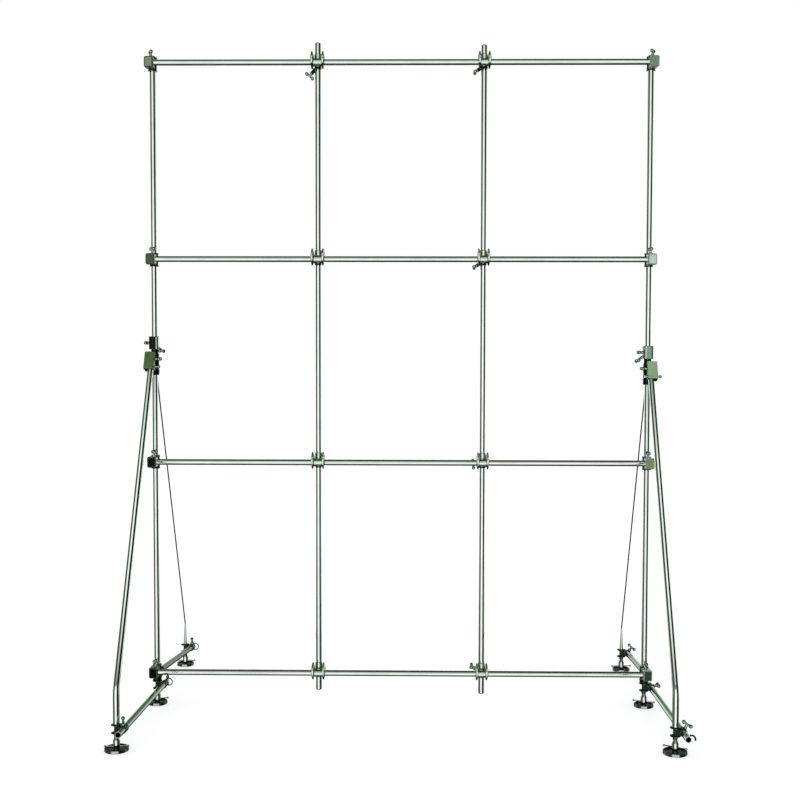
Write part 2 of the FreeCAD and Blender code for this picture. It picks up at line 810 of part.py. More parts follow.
def rear_leg(side):
    """Every piece of a rear leg and the nodes that they are kept under, in the leg's own frame."""
    foot_at = vec(0, rear_reach[side], 0)
    eye_low = spool_top + contact_gap
    eye_high = rail_heights["bottom"] - corner_barrel_below - contact_gap
    start = vec(rear_tube_start_offset, rear_tube_start, rear_tube_start_height)
    clamp_at = vec(base_tube_offset, rear_reach[side], spool_centre_height)
    run = clamp_at.sub(start).normalize()
    end = clamp_at.add(times(run, rear_tube_overhang[side]))

    def on_axis(y):
        return start.z + run.z / run.y * (y - rear_tube_start)

    profile = [
        (gusset_root, eye_low),
        (gusset_toe, eye_low),
        (gusset_end, on_axis(gusset_end)),
        (rear_tube_start, on_axis(rear_tube_start)),
        (gusset_heel, eye_high),
        (gusset_root, eye_high),
    ]
    corners = [vec(rear_tube_start_offset - gusset_thickness / 2, y, z) for y, z in profile]
    gusset = Part.Face(Part.makePolygon(corners + [corners[0]])).extrude(vec(gusset_thickness, 0, 0))
    eye = Part.makeCylinder(eye_diameter / 2, eye_high - eye_low, vec(0, 0, eye_low))
    body = rod(start, end, tube_diameter).fuse([gusset, eye])
    inside = rod(start.sub(run), end.add(times(run, overrun)), tube_diameter - 2 * tube_wall)
    body = body.cut([inside, bore(vec(0, 0, eye_low), vec(0, 0, eye_high), tube_bore)])
    pieces = [body.removeSplitter()]
    if side == "left":
        hook_at = end.sub(times(run, bail_inset)).add(vec(bail_outboard, 0, 0))
        pieces.append(bail(side, run, hook_at))
    axis, bar = rear_screw_axes[side]
    toe = foot(side, "rear")
    return {
        "rear_stay": rear_stay(side),
        "rear_base_tube": pieces,
        "rear_foot_clamp": [foot_clamp(run, axis).translated(foot_at)],
        "rear_leg_screw": [foot_clamp_screw(run, axis, bar).translated(foot_at)],
        "rear_foot": [piece.translated(foot_at) for piece in toe],
    }


def collar_base(side):
    return bracket_heights[side] + bracket_barrel_above + collar_gap


def collar(side):
    """Rounded clamp block on the post that holds the bracket's height."""
    low = collar_base(side)
    x = sides[side] * collar_outboard
    box = Part.makeBox(
        collar_width, collar_depth, collar_height, vec(x - collar_width / 2, -collar_depth / 2, low)
    )
    upright_edges = [edge for edge in box.Edges if abs(edge.tangentAt(0).z) > 0.9]
    box = box.makeFillet(collar_corner, upright_edges)
    ends = [edge for edge in box.Edges if abs(edge.tangentAt(0).z) < 0.1]
    box = box.makeChamfer(collar_edge, ends)
    cuts = [bore(vec(0, 0, low), vec(0, 0, low + collar_height), tube_bore)]
    middle = vec(0, 0, low + collar_height / 2)
    for direction, bar, share in collar_screw_shares[side]:
        cuts.append(Part.makeCylinder(screw_bore / 2, collar_width, middle, vec(*direction)))
    return box.cut(cuts).removeSplitter()


def collar_screws(side):
    """T-handled screws of the collar, each with its direction, bar and distance share."""
    middle = vec(0, 0, collar_base(side) + collar_height / 2)
    pieces = []
    for direction, bar, share in collar_screw_shares[side]:
        axis = vec(*direction).normalize()
        tip = oblique(axis, UP, screw_diameter / 2, screw_seat)
        face = collar_width / 2 + sides[side] * math.copysign(collar_outboard, axis.x)
        base = (face + screw_collar_diameter / 2 * math.sqrt(1 - axis.x ** 2)) / abs(axis.x)
        pieces.append(aim(clamp_screw(tip, base, base + foot_bar_height * share), direction, bar, middle))
    return pieces


pin_bore = pin_diameter + 2 * fit_clearance
stay_bore = stay_diameter + 2 * fit_clearance

# Directions of the leg screws and their bars, the turn of each tommy bar in degrees, and for the
# collar screws the height of the bar over the block as a share of the foot clamps'
front_screw_axes = {
    "left": {
        "front": (vec(0.1, -0.5, 0.86), (-0.25, 0.8, 0.55)),
        "mid": (vec(0, 1, 0), (0.05, 0, 1)),
    },
    "right": {
        "front": (vec(0.5, 0, 0.87), (0.75, -0.45, -0.43)),
        "mid": (vec(0.97, 0, 0.24), (0, 1, 0)),
    },
}
rear_screw_axes = {
    "left": (vec(0.2, -0.4, 0.9), (-0.2, 0.75, 0.63)),
    "right": (vec(0.5, -0.3, 0.81), (0.7, -0.4, -0.58)),
}
foot_bars = {
    "left": {"front": 188, "mid": 25, "rear": 0},
    "right": {"front": 150, "mid": 160, "rear": 5},
}
collar_screw_shares = {
    "left": [((-1, 0, 0), (0, 1, 0), 0.75), ((0.66, -0.25, -0.7), (0.3, 1, 0), 0.7)],
    "right": [((-1, 0, 0), (0, 1, 0), 1.0), ((-0.78, -0.2, -0.6), (0, 1, 0), 1.6)],
}

for side, way in sides.items():
    post_at = vec(way * post_x, 0, 0)
    add(side + "_collar", [collar(side).translated(post_at)])
    add(side + "_collar_screws", [piece.translated(post_at) for piece in collar_screws(side)])
    mid_foot = foot(side, "mid")
    add(side + "_mid_foot", [piece.translated(post_at) for piece in mid_foot])
    for node, pieces in front_leg(side).items():
        turned_out = [spun(piece, way * leg_splay_degrees[side], vec(0, 0, 0)) for piece in pieces]
        add(side + "_" + node, [piece.translated(post_at) for piece in turned_out])
    for node, pieces in rear_leg(side).items():
        add(side + "_" + node, [piece.translated(post_at) for piece in pieces])

# Origin: the middle of the footprint, on the floor
bounds = FreeCAD.BoundBox()
for shape in parts.values():
    bounds.add(shape.optimalBoundingBox(False))
shift = vec(-bounds.Center.x, -bounds.Center.y, -bounds.ZMin)
os.makedirs("parts", exist_ok=True)
for name, shape in parts.items():
    shape.translate(shift)
    shape.exportStep("parts/" + name + ".step")
for name, (place, direction) in joints.items():
    print("hinge", name, place.add(shift), direction)
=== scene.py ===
import math

import bmesh
import bpy
from mathutils import Matrix, Vector


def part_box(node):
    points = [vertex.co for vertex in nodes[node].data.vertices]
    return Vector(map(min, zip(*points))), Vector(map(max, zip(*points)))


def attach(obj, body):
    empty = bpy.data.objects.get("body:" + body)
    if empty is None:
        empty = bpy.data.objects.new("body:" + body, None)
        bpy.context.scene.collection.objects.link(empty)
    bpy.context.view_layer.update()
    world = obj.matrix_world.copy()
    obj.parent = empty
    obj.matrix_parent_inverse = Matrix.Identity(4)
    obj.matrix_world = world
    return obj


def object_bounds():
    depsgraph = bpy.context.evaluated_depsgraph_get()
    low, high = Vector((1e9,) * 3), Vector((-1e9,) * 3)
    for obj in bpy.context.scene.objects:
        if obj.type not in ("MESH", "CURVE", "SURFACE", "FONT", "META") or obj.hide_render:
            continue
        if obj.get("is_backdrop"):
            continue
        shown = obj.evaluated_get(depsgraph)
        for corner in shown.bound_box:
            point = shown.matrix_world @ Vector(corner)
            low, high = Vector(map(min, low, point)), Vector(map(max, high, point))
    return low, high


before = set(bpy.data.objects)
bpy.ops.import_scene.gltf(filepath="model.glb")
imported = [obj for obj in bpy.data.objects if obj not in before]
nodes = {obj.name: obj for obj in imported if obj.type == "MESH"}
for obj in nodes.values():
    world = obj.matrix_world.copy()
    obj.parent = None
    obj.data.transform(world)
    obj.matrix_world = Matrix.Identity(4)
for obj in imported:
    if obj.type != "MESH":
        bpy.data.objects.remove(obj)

# The places of the main tubes come from the frame too, so nothing below repeats a measure of it.
cad_low, cad_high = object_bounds()
sides = {"left": -1, "right": 1}
rows = ("top", "upper", "lower", "bottom")


def middle(node):
    low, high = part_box(node)
    return (low + high) / 2


# The camera stands in front of the lattice, level with its middle and a little over half its height,
# and looks down by a few degrees. Its lens is a short portrait lens.
camera_place = Vector((0.0691, -4.9212, 1.5375))
camera_pitch = math.radians(2.658)
camera_yaw = math.radians(-0.802)
camera_roll = math.radians(0.1)
camera_lens = 52.45
camera_data = bpy.data.cameras.new("camera")
camera_data.lens = camera_lens
camera_data.sensor_width = 36.0
camera = bpy.data.objects.new("camera", camera_data)
camera.location = camera_place
aim = Matrix.Rotation(-camera_yaw, 4, "Z") @ Matrix.Rotation(math.radians(90) - camera_pitch, 4, "X")
camera.rotation_euler = (aim @ Matrix.Rotation(camera_roll, 4, "Z")).to_euler()
bpy.context.scene.collection.objects.link(camera)
bpy.context.scene.camera = camera

# The studio is a pale sweep with soft light all round. Metal sees a wide white screen in front, a
# white wall behind and dim green walls and ceiling at the sides, which give tubes their dark edges.
screen_turn = math.radians(5)
around_stops = [
    (-0.66, (1.0, 1.0, 1.0)),
    (-0.45, (0.45, 0.52, 0.47)),
    (-0.26, (0.06, 0.10, 0.07)),
    (-0.087, (0.008, 0.025, 0.013)),
    (0.71, (0.006, 0.022, 0.010)),
    (0.80, (0.08, 0.14, 0.10)),
    (0.865, (0.80, 0.90, 0.84)),
    (0.90, (1.0, 1.0, 1.0)),
]
front_stops = [
    (-1.0, (0.03, 0.06, 0.04)),
    (-0.93, (0.07, 0.12, 0.09)),
    (-0.80, (0.30, 0.40, 0.33)),
    (-0.55, (0.85, 0.95, 0.88)),
    (-0.35, (1.0, 1.0, 1.0)),
    (0.02, (1.0, 1.0, 1.0)),
    (0.23, (0.82, 0.86, 0.80)),
    (0.31, (0.40, 0.42, 0.34)),
    (0.38, (0.22, 0.23, 0.16)),
    (0.50, (0.20, 0.21, 0.14)),
    (0.56, (0.90, 1.0, 0.92)),
    (0.67, (0.92, 1.0, 0.94)),
    (0.73, (0.16, 0.17, 0.11)),
    (0.88, (0.07, 0.075, 0.045)),
    (1.0, (0.04, 0.042, 0.025)),
]
back_stops = [
    (-0.42, (0.012, 0.03, 0.018)),
    (-0.28, (0.06, 0.12, 0.075)),
    (-0.16, (1.0, 1.0, 1.0)),
    (0.08, (1.0, 1.0, 1.0)),
    (0.20, (0.60, 0.68, 0.60)),
    (0.28, (0.22, 0.34, 0.21)),
    (0.45, (0.10, 0.16, 0.09)),
    (0.70, (0.06, 0.08, 0.05)),
    (1.0, (0.03, 0.035, 0.022)),
]
behind_stops = [(-0.62, (1.0, 1.0, 1.0)), (-0.26, (0.0, 0.0, 0.0))]
left_stops = [(-1.0, (0.07, 0.058, 0.062)), (-0.5, (0.035, 0.03, 0.032)), (0.0, (0.0, 0.0, 0.0))]
bpy.context.scene.view_settings.view_transform = "Standard"
world = bpy.data.worlds.new("studio")
bpy.context.scene.world = world
world.use_nodes = True
tree = world.node_tree
tree.nodes.clear()
direction = tree.nodes.new("ShaderNodeTexCoord")
split = tree.nodes.new("ShaderNodeSeparateXYZ")
tree.links.new(direction.outputs["Generated"], split.inputs[0])
level = tree.nodes.new("ShaderNodeVectorMath")
level.operation = "MULTIPLY"
level.inputs[1].default_value = (1.0, 1.0, 0.0)
tree.links.new(direction.outputs["Generated"], level.inputs[0])
heading = tree.nodes.new("ShaderNodeVectorMath")
heading.operation = "NORMALIZE"
tree.links.new(level.outputs[0], heading.inputs[0])
facing = tree.nodes.new("ShaderNodeVectorMath")
facing.operation = "DOT_PRODUCT"
facing.inputs[1].default_value = (-math.sin(screen_turn), -math.cos(screen_turn), 0.0)
tree.links.new(heading.outputs[0], facing.inputs[0])


def wall(value, stops, low=-1.0):
    """Colour ramp over a measure that runs from low to 1, each stop a place and its colour."""
    spread = tree.nodes.new("ShaderNodeMapRange")
    spread.inputs["From Min"].default_value = low
    tree.links.new(value, spread.inputs["Value"])
    node = tree.nodes.new("ShaderNodeValToRGB")
    tree.links.new(spread.outputs["Result"], node.inputs["Fac"])
    points = node.color_ramp.elements
    while len(points) < len(stops):
        points.new(1.0)
    for point, (place, colour) in zip(points, stops):
        point.position = (place - low) / (1.0 - low)
        point.color = (*colour, 1)
    return node.outputs["Color"]


def blended(kind, factor, first, second):
    """Two colours of the room put together: mixed by a factor, multiplied or added."""
    node = tree.nodes.new("ShaderNodeMix")
    node.data_type = "RGBA"
    node.blend_type = kind
    node.inputs["Factor"].default_value = 1.0
    if factor:
        tree.links.new(factor, node.inputs["Factor"])
    tree.links.new(first, node.inputs["A"])
    tree.links.new(second, node.inputs["B"])
    return node.outputs["Result"]


around = wall(facing.outputs["Value"], around_stops)
front_height = wall(split.outputs["Z"], front_stops)
back_height = wall(split.outputs["Z"], back_stops)
behind = wall(facing.outputs["Value"], behind_stops)
left_glow = wall(split.outputs["X"], left_stops)
in_front = blended("MULTIPLY", None, around, front_height)
walls = blended("ADD", None, blended("MIX", behind, in_front, back_height), left_glow)
path = tree.nodes.new("ShaderNodeLightPath")
room = tree.nodes.new("ShaderNodeMix")
room.data_type = "RGBA"
room.inputs["A"].default_value = (0.86, 0.88, 0.87, 1)
tree.links.new(path.outputs["Is Glossy Ray"], room.inputs["Factor"])
tree.links.new(walls, room.inputs["B"])
backdrop = tree.nodes.new("ShaderNodeMix")
backdrop.data_type = "RGBA"
backdrop.inputs["B"].default_value = (1, 1, 1, 1)
tree.links.new(path.outputs["Is Camera Ray"], backdrop.inputs["Factor"])
tree.links.new(room.outputs["Result"], backdrop.inputs["A"])
emit = tree.nodes.new("ShaderNodeBackground")
tree.links.new(backdrop.outputs["Result"], emit.inputs["Color"])
sky = tree.nodes.new("ShaderNodeOutputWorld")
tree.links.new(emit.outputs[0], sky.inputs["Surface"])

# The floor is one pale sheet that runs past the picture. It glows a little for the camera, so that it
# stays as white as the wall and still takes the shadows of the feet. Metal mirrors the room instead.
floor_half = 30.0
floor_gap = 0.0005
mesh = bpy.data.meshes.new("floor")
corners = [(-1, -1), (1, -1), (1, 1), (-1, 1)]
floor_points = [(x * floor_half, y * floor_half, cad_low.z - floor_gap) for x, y in corners]
mesh.from_pydata(floor_points, [], [(0, 1, 2, 3)])
floor = bpy.data.objects.new("floor", mesh)
bpy.context.scene.collection.objects.link(floor)
sheet = bpy.data.materials.new("pale_floor")
sheet.use_nodes = True
tree = sheet.node_tree
shader = tree.nodes["Principled BSDF"]
shader.inputs["Base Color"].default_value = (0.5, 0.5, 0.5, 1)
shader.inputs["Roughness"].default_value = 1.0
shader.inputs["Specular IOR Level"].default_value = 0.0
shader.inputs["Emission Strength"].default_value = 0.62
path = tree.nodes.new("ShaderNodeLightPath")
tree.links.new(path.outputs["Is Camera Ray"], shader.inputs["Emission Color"])
floor.data.materials.append(sheet)
floor.visible_glossy = False
floor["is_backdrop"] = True

# Polished plate over steel tube. The four uprights and the four rails are cut from one stock, drawn
# lengthwise, so the faint lines, wipe marks and dull patches run along each tube.
tube_tint = (0.93, 0.985, 0.95)
tube_roughness = 0.05
along_x = (0.02, 1.0, 1.0)
along_y = (1.0, 0.02, 1.0)
along_z = (1.0, 1.0, 0.02)
across_z = (0.02, 0.02, 1.0)


def drawn_marks():
    """Group with the marks of drawn or turned steel: fine lines along or round it and dull patches."""
    group = bpy.data.node_groups.new("drawn_marks", "ShaderNodeTree")
    sockets = group.interface
    sockets.new_socket("Stretch", in_out="INPUT", socket_type="NodeSocketVector")
    sockets.new_socket("Lines", in_out="OUTPUT", socket_type="NodeSocketFloat")
    sockets.new_socket("Clouds", in_out="OUTPUT", socket_type="NodeSocketFloat")
    start = group.nodes.new("NodeGroupInput")
    end = group.nodes.new("NodeGroupOutput")
    place = group.nodes.new("ShaderNodeTexCoord")
    fit = group.nodes.new("ShaderNodeVectorMath")
    fit.operation = "MULTIPLY"
    group.links.new(place.outputs["Object"], fit.inputs[0])
    group.links.new(start.outputs["Stretch"], fit.inputs[1])
    lines = group.nodes.new("ShaderNodeTexNoise")
    lines.inputs["Scale"].default_value = 900.0
    lines.inputs["Detail"].default_value = 4.0
    group.links.new(fit.outputs[0], lines.inputs["Vector"])
    clouds = group.nodes.new("ShaderNodeTexNoise")
    clouds.inputs["Scale"].default_value = 9.0
    clouds.inputs["Detail"].default_value = 6.0
    clouds.inputs["Roughness"].default_value = 0.65
    group.links.new(place.outputs["Object"], clouds.inputs["Vector"])
    group.links.new(lines.outputs["Fac"], end.inputs["Lines"])
    group.links.new(clouds.outputs["Fac"], end.inputs["Clouds"])
    return group


marks = drawn_marks()
dull_tint_share = 0.82
polished_roughness_share = 0.7
dull_roughness_share = 1.9


def scaled_tint(tint, share):
    """Colour with each channel times a share."""
    return tuple(c * share for c in tint)


def plated(name, tint, roughness, stretch):
    """Polished plate: tint darker in the dull patches, rougher there, fine lines in its skin."""
    material = bpy.data.materials.new(name)
    material.use_nodes = True
    tree = material.node_tree
    shader = tree.nodes["Principled BSDF"]
    shader.inputs["Metallic"].default_value = 1.0
    worn = tree.nodes.new("ShaderNodeGroup")
    worn.node_tree = marks
    worn.inputs["Stretch"].default_value = stretch
    dull = tree.nodes.new("ShaderNodeMix")
    dull.data_type = "RGBA"
    dull.inputs["A"].default_value = (*tint, 1)
    dull.inputs["B"].default_value = (*scaled_tint(tint, dull_tint_share), 1)
    patches = tree.nodes.new("ShaderNodeMapRange")
    patches.inputs["From Min"].default_value = 0.45
    patches.inputs["From Max"].default_value = 0.75
    tree.links.new(worn.outputs["Clouds"], patches.inputs["Value"])
    tree.links.new(patches.outputs["Result"], dull.inputs["Factor"])
    tree.links.new(dull.outputs["Result"], shader.inputs["Base Color"])
    gloss = tree.nodes.new("ShaderNodeMapRange")
    gloss.inputs["From Min"].default_value = 0.35
    gloss.inputs["From Max"].default_value = 0.75
    gloss.inputs["To Min"].default_value = roughness * polished_roughness_share
    gloss.inputs["To Max"].default_value = roughness * dull_roughness_share
    tree.links.new(worn.outputs["Clouds"], gloss.inputs["Value"])
    tree.links.new(gloss.outputs["Result"], shader.inputs["Roughness"])
    bump = tree.nodes.new("ShaderNodeBump")
    bump.inputs["Strength"].default_value = 0.06
    bump.inputs["Distance"].default_value = 0.0002
    tree.links.new(worn.outputs["Lines"], bump.inputs["Height"])
    tree.links.new(bump.outputs["Normal"], shader.inputs["Normal"])
    return material


def shared_out(part, materials, pick):
    """Give each face of a frame piece one of its materials, picked by the face's middle and normal."""
    part.data.materials.clear()
    for material in materials:
        part.data.materials.append(material)
    place = part.matrix_world
    turn = place.to_3x3()
    for face in part.data.polygons:
        face.material_index = pick(place @ face.center, turn @ face.normal)


upright_tube = plated("upright_tube", tube_tint, tube_roughness, along_z)
rail_tube = plated("rail_tube", tube_tint, tube_roughness, along_x)
for row in rows:
    shared_out(nodes[row + "_rail"], [rail_tube], lambda at, normal: 0)

# Castings have a satin skin: sand-cast pits, a tone that drifts, and edges rubbed bright by handling
# and by years of going in and out of crates. Moulded plugs share the skin, in black.


def cast_skin():
    """Group with a casting's skin: fine pits, broad tone, softened edges and a mask of rubbed ones."""
    group = bpy.data.node_groups.new("cast_skin", "ShaderNodeTree")
    sockets = group.interface
    sockets.new_socket("Grain", in_out="INPUT", socket_type="NodeSocketFloat")
    sockets.new_socket("Pits", in_out="OUTPUT", socket_type="NodeSocketFloat")
    sockets.new_socket("Tone", in_out="OUTPUT", socket_type="NodeSocketFloat")
    sockets.new_socket("Edges", in_out="OUTPUT", socket_type="NodeSocketFloat")
    sockets.new_socket("Softened", in_out="OUTPUT", socket_type="NodeSocketVector")
    start = group.nodes.new("NodeGroupInput")
    end = group.nodes.new("NodeGroupOutput")
    place = group.nodes.new("ShaderNodeTexCoord")
    pits = group.nodes.new("ShaderNodeTexNoise")
    pits.inputs["Detail"].default_value = 5.0
    group.links.new(place.outputs["Object"], pits.inputs["Vector"])
    group.links.new(start.outputs["Grain"], pits.inputs["Scale"])
    tone = group.nodes.new("ShaderNodeTexNoise")
    tone.inputs["Scale"].default_value = 30.0
    tone.inputs["Detail"].default_value = 4.0
    group.links.new(place.outputs["Object"], tone.inputs["Vector"])
    soft = group.nodes.new("ShaderNodeBevel")
    soft.samples = 4
    soft.inputs["Radius"].default_value = 0.0011
    surface = group.nodes.new("ShaderNodeNewGeometry")
    turn = group.nodes.new("ShaderNodeVectorMath")
    turn.operation = "DOT_PRODUCT"
    group.links.new(soft.outputs["Normal"], turn.inputs[0])
    group.links.new(surface.outputs["Normal"], turn.inputs[1])
    edges = group.nodes.new("ShaderNodeMapRange")
    edges.inputs["From Min"].default_value = 0.998
    edges.inputs["From Max"].default_value = 0.93
    group.links.new(turn.outputs["Value"], edges.inputs["Value"])
    group.links.new(pits.outputs["Fac"], end.inputs["Pits"])
    group.links.new(tone.outputs["Fac"], end.inputs["Tone"])
    group.links.new(edges.outputs["Result"], end.inputs["Edges"])
    group.links.new(soft.outputs["Normal"], end.inputs["Softened"])
    return group


skin = cast_skin()
tone_shares = (0.8, 1.2)
rubbed_roughness_share = 0.6


def casting(name, tint, bright, roughness, metallic=1.0):
    """Satin casting: pitted skin, tone that drifts and bright rubbed edges."""
    material = bpy.data.materials.new(name)
    material.use_nodes = True
    tree = material.node_tree
    shader = tree.nodes["Principled BSDF"]
    shader.inputs["Metallic"].default_value = metallic
    cast = tree.nodes.new("ShaderNodeGroup")
    cast.node_tree = skin
    cast.inputs["Grain"].default_value = 900.0
    drift = tree.nodes.new("ShaderNodeMix")
    drift.data_type = "RGBA"
    for socket, share in zip(("A", "B"), tone_shares):
        drift.inputs[socket].default_value = (*scaled_tint(tint, share), 1)
    tree.links.new(cast.outputs["Tone"], drift.inputs["Factor"])
    rubbed = tree.nodes.new("ShaderNodeMix")
    rubbed.data_type = "RGBA"
    rubbed.inputs["B"].default_value = (*bright, 1)
    tree.links.new(cast.outputs["Edges"], rubbed.inputs["Factor"])
    tree.links.new(drift.outputs["Result"], rubbed.inputs["A"])
    tree.links.new(rubbed.outputs["Result"], shader.inputs["Base Color"])
    gloss = tree.nodes.new("ShaderNodeMapRange")
    gloss.inputs["To Min"].default_value = roughness
    gloss.inputs["To Max"].default_value = roughness * rubbed_roughness_share
    tree.links.new(cast.outputs["Edges"], gloss.inputs["Value"])
    tree.links.new(gloss.outputs["Result"], shader.inputs["Roughness"])
    bump = tree.nodes.new("ShaderNodeBump")
    bump.inputs["Strength"].default_value = 0.2
    bump.inputs["Distance"].default_value = 0.0003
    tree.links.new(cast.outputs["Pits"], bump.inputs["Height"])
    tree.links.new(cast.outputs["Softened"], bump.inputs["Normal"])
    tree.links.new(bump.outputs["Normal"], shader.inputs["Normal"])
    return material


# Moulded plugs close the free ends of the posts and uprights, and turned end spools carry the feet
# under the posts and braces. The spools are blackened steel with turning lines round them.
plug_dome = 0.006
spool_top = 0.104
plug_black = casting("plug_black", (0.02, 0.026, 0.022), (0.07, 0.08, 0.07), 0.42, 0.0)
blackened = plated("blackened_steel", (0.10, 0.14, 0.115), 0.16, across_z)
for side in sides:
    low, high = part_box(side + "_upright")
    shared_out(
        nodes[side + "_upright"],
        [upright_tube, plug_black],
        lambda at, normal: int(at.z > high.z - plug_dome or at.z < low.z + plug_dome),
    )
    low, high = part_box(side + "_post")
    shared_out(
        nodes[side + "_post"],
        [upright_tube, plug_black, blackened],
        lambda at, normal: 2 if at.z < spool_top else int(at.z > high.z - plug_dome),
    )
    shared_out(nodes[side + "_brace"], [upright_tube, blackened], lambda at, normal: int(at.z < spool_top))

# Corner clamps hold the rails to the posts. Each is one casting, a bevelled block on the rail and a
# round barrel on the post. The faces carry a green passivated plate. The tints of each block's face,
# cheeks and bevels are painted light, set clamp by clamp: the faces darker on the left of the stand and
# towards the floor as painted shade, the cheeks darker at the bottom, and the bevels in painted shade on
# the left and a painted highlight on the right.
block_width = 0.038
block_height = 0.047
block_margin = 0.0006
flat_limit = 0.98
rail_y = middle("top_rail").y
# Face and cheek tints, clamp by clamp, are painted light and painted shade.
face_painted_light = {
    "left": {
        "top": (0.29, 0.36, 0.22), "upper": (0.072, 0.115, 0.055),
        "lower": (0.006, 0.013, 0.006), "bottom": (0.004, 0.006, 0.005),
    },
    "right": {
        "top": (0.24, 0.39, 0.24), "upper": (0.54, 0.70, 0.61),
        "lower": (0.26, 0.33, 0.145), "bottom": (0.035, 0.075, 0.048),
    },
}
# Bevel tints: painted shade on the left of the stand, painted highlight on the right.
bevel_painted_light = {"left": (0.20, 0.18, 0.20), "right": (0.78, 0.84, 0.78)}
cheek_painted_light = {
    "left": {
        "top": (0.34, 0.41, 0.29), "upper": (0.84, 0.80, 0.64),
        "lower": (0.84, 0.80, 0.64), "bottom": (0.2, 0.2, 0.16),
    },
    "right": {
        "top": (0.33, 0.45, 0.33), "upper": (0.86, 0.90, 0.86),
        "lower": (0.74, 0.78, 0.66), "bottom": (0.10, 0.15, 0.12),
    },
}
rubbed_bright = (0.80, 0.85, 0.80)
face_edge_share = 1.5
cheek_edge_share = 1.1
clamp_dark = casting("clamp_dark", (0.014, 0.022, 0.016), (0.50, 0.58, 0.50), 0.16)
for side, way in sides.items():
    node = side + "_corner_clamps"
    low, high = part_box(node)
    outer = low.x if way < 0 else high.x
    block_x = outer - way * block_width / 2
    block_half = Vector((block_width / 2, rail_y - low.y, block_height / 2))
    block_half += Vector((1, 1, 1)) * block_margin
    bevel = casting(side + "_block_bevel_painted_light", bevel_painted_light[side], rubbed_bright, 0.25, 0.7)
    materials = [clamp_dark, bevel]
    middles = {}
    for row in rows:
        block = side + "_" + row + "_block"
        tone = face_painted_light[side][row]
        materials.append(casting(block + "_face", tone, scaled_tint(tone, face_edge_share), 0.30))
        cheek = cheek_painted_light[side][row]
        materials.append(casting(block + "_cheek", cheek, scaled_tint(cheek, cheek_edge_share), 0.35, 0.4))
        middles[row] = middle(row + "_rail").z

    def pick(at, normal):
        row = min(rows, key=lambda name: abs(at.z - middles[name]))
        away = at - Vector((block_x, rail_y, middles[row]))
        if any(abs(away[axis]) > block_half[axis] for axis in range(3)):
            return 0
        if normal.y < -flat_limit:
            return 2 + 2 * rows.index(row)
        if normal.x * way < -flat_limit:
            return 3 + 2 * rows.index(row)
        return 1

    shared_out(nodes[node], materials, pick)

# Cross clamps hold the uprights behind the rails. Each is a polished spool on the rail with a barrel
# behind it, and two leaf-thin flanges. Their cheeks are left as cast, with a tint that is darker on the
# left of the stand as painted shade, and their lower lobes take the black casting as painted shade.
hub_radius = 0.017
shaded_lobe_drop = 0.009
cheek_limit = 0.6
cross_plate = plated("cross_clamp_plate", (0.84, 0.90, 0.84), 0.11, along_x)
flange_painted_light = {"left": (0.36, 0.50, 0.32), "right": (0.52, 0.64, 0.48)}
for side in sides:
    cheek = casting(side + "_flange_cheek_painted_light", flange_painted_light[side], rubbed_bright, 0.30, 0.8)

    def pick(at, normal):
        row = min(rows, key=lambda name: abs(at.z - middles[name]))
        away = math.hypot(at.y - rail_y, at.z - middles[row])
        if away < hub_radius:
            return 0
        # Below the rail the lobes are black: painted shade.
        if at.z < middles[row] - shaded_lobe_drop:
            return 2
        return int(abs(normal.x) > cheek_limit)

    shared_out(nodes[side + "_cross_clamps"], [cross_plate, cheek, clamp_dark], pick)

# T-handled screws lock every clamp. They are turned from bar with a ball at each end of the handle,
# and their plate is a little darker than the tubes', with the same wipe marks and dull patches.
handle_plate = plated("handle_plate", (0.52, 0.66, 0.58), 0.08, across_z)
for name, part in nodes.items():
    if name.endswith(("_screw", "_screws", "_pin")):
        shared_out(part, [handle_plate], lambda at, normal: 0)

# Brackets take the tops of the braces. The block is cast with its barrel and sleeve on the post. Its
# face has the green plate of the corner clamps, and its tint and metalness carry painted light: painted
# shade on the left of the stand, lighter on the right. Its flanks and underside are painted shade, as
# black as the barrel.
bracket_painted_light = {"left": (0.165, 0.253, 0.10), "right": (0.39, 0.59, 0.315)}
bracket_metal = {"left": 0.9, "right": 0.35}
post_grip = 0.0195
shaded_flank_limit = 0.9
shaded_underside_limit = -0.5
for side in sides:
    post = middle(side + "_post")
    tone = bracket_painted_light[side]
    edge = scaled_tint(tone, face_edge_share)
    face = casting(side + "_bracket_face_painted_light", tone, edge, 0.32, bracket_metal[side])

    # Faces turned to the sides or down take the black casting as painted shade.
    def pick(at, normal):
        on_block = math.hypot(at.x - post.x, at.y - post.y) > post_grip
        on_face = abs(normal.x) < shaded_flank_limit and normal.z > shaded_underside_limit
        return int(on_block and on_face)

    shared_out(nodes[side + "_bracket"], [clamp_dark, face], pick)

# Collars lock the brackets' height. They are rounded blocks bored for the post, and their tints are
# painted light: on the left of the stand painted shade leaves the collar near black, with a painted
# highlight on its right-facing flank; on the right it is grey-green, with painted highlights on its
# rounded corners and painted shade on its left flank.
collar_painted_light = {"left": (0.010, 0.017, 0.012), "right": (0.20, 0.34, 0.27)}
highlight_start = 0.15
highlight_end = 0.93
collar_painted_highlight = plated("collar_painted_highlight", (0.78, 0.84, 0.70), 0.12, along_z)
for side in sides:
    face = casting(side + "_collar_face_painted_light", collar_painted_light[side], rubbed_bright, 0.20)

    # Faces picked by their normal get the painted highlight or the black casting as painted shade.
    def pick(at, normal):
        if side == "left":
            return int(normal.x > highlight_start)
        if normal.x < -highlight_end:
            return 2
        return int(highlight_start < abs(normal.x) < highlight_end)

    shared_out(nodes[side + "_collar"], [face, collar_painted_highlight, clamp_dark], pick)

